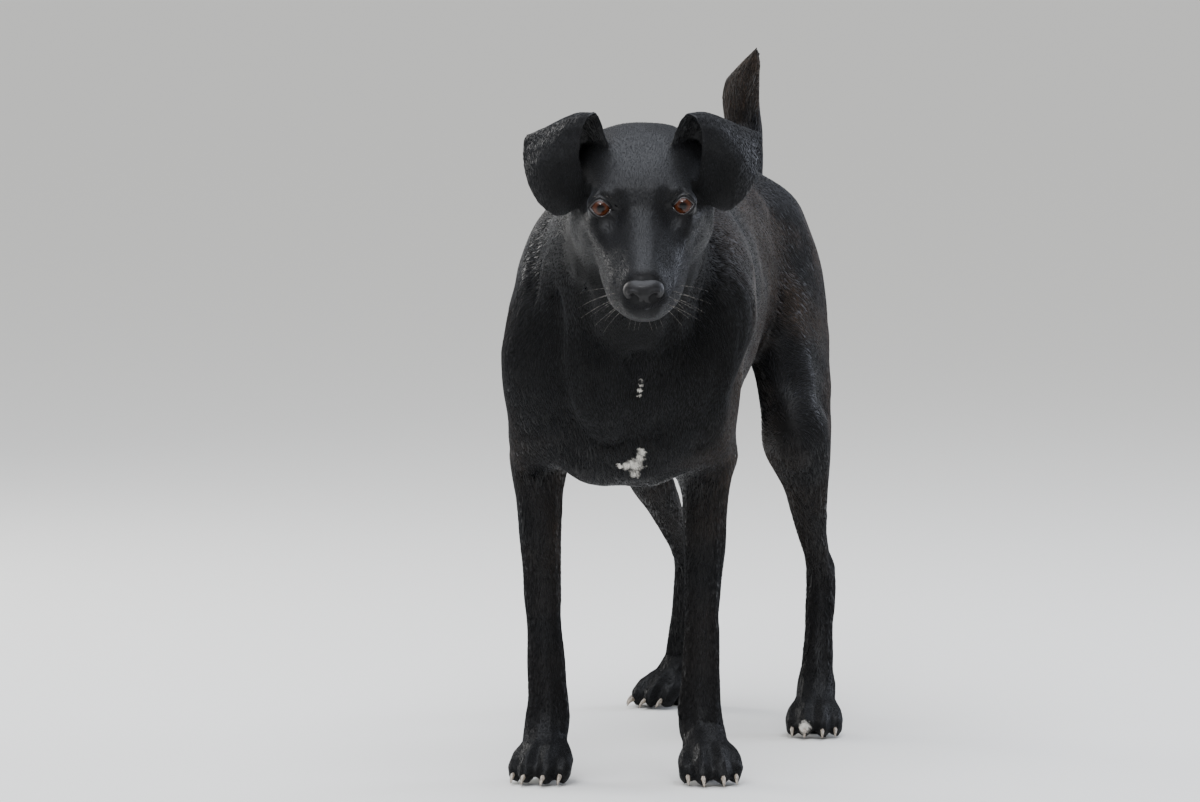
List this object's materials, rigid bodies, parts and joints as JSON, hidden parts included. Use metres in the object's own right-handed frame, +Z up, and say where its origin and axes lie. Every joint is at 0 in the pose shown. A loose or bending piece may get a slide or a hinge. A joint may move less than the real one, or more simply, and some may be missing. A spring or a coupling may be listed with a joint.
{
  "type": "dog",
  "caption": "Life-size standing black dog with a short glossy coat, folded ears, amber eyes, a white mark on the chest and a raised tail; a still model that rests on its paws.",
  "frame": {"origin": "on the floor, under the centre of the whole animal's box", "axes": "-Y is the way the dog faces, +X is the dog's left, +Z is up"},
  "size_m": [0.2764, 0.9388, 0.6653],
  "materials": {
    "barrel": "short glossy black fur",
    "chest": "short glossy black fur",
    "claw_front_left_inner": "pale horn",
    "claw_front_left_little": "pale horn",
    "claw_front_left_middle": "pale horn",
    "claw_front_left_outer": "pale horn",
    "claw_front_right_inner": "pale horn",
    "claw_front_right_little": "pale horn",
    "claw_front_right_middle": "pale horn",
    "claw_front_right_outer": "pale horn",
    "claw_hind_left_inner": "pale horn",
    "claw_hind_left_little": "pale horn",
    "claw_hind_left_middle": "pale horn",
    "claw_hind_left_outer": "pale horn",
    "claw_hind_right_inner": "pale horn",
    "claw_hind_right_little": "pale horn",
    "claw_hind_right_middle": "pale horn",
    "claw_hind_right_outer": "pale horn",
    "ear_left": "short glossy black fur",
    "ear_right": "short glossy black fur",
    "eye_left": "wet, amber-brown iris",
    "eye_right": "wet, amber-brown iris",
    "forearm_left": "short glossy black fur",
    "forearm_right": "short glossy black fur",
    "gaskin_left": "short glossy black fur",
    "gaskin_right": "short glossy black fur",
    "head": "short glossy black fur",
    "hindquarters": "short glossy black fur",
    "neck": "short glossy black fur",
    "nose": "moist, pebbled",
    "pastern_front_left": "short glossy black fur",
    "pastern_front_right": "short glossy black fur",
    "pastern_hind_left": "short glossy black fur",
    "pastern_hind_right": "short glossy black fur",
    "paw_front_left": "short glossy black fur",
    "paw_front_right": "short glossy black fur",
    "paw_hind_left": "short glossy black fur",
    "paw_hind_right": "short glossy black fur",
    "tail": "short glossy black fur"
  },
  "bodies": {
    "root": {"barrel": "barrel", "chest": "chest", "claw_front_left_inner": "claw_front_left_inner", "claw_front_left_little": "claw_front_left_little", "claw_front_left_middle": "claw_front_left_middle", "claw_front_left_outer": "claw_front_left_outer", "claw_front_right_inner": "claw_front_right_inner", "claw_front_right_little": "claw_front_right_little", "claw_front_right_middle": "claw_front_right_middle", "claw_front_right_outer": "claw_front_right_outer", "claw_hind_left_inner": "claw_hind_left_inner", "claw_hind_left_little": "claw_hind_left_little", "claw_hind_left_middle": "claw_hind_left_middle", "claw_hind_left_outer": "claw_hind_left_outer", "claw_hind_right_inner": "claw_hind_right_inner", "claw_hind_right_little": "claw_hind_right_little", "claw_hind_right_middle": "claw_hind_right_middle", "claw_hind_right_outer": "claw_hind_right_outer", "ear_left": "ear_left", "ear_right": "ear_right", "eye_left": "eye_left", "eye_right": "eye_right", "forearm_left": "forearm_left", "forearm_right": "forearm_right", "gaskin_left": "gaskin_left", "gaskin_right": "gaskin_right", "head": "head", "hindquarters": "hindquarters", "neck": "neck", "nose": "nose", "pastern_front_left": "pastern_front_left", "pastern_front_right": "pastern_front_right", "pastern_hind_left": "pastern_hind_left", "pastern_hind_right": "pastern_hind_right", "paw_front_left": "paw_front_left", "paw_front_right": "paw_front_right", "paw_hind_left": "paw_hind_left", "paw_hind_right": "paw_hind_right", "tail": "tail"}
  },
  "joints": []
}
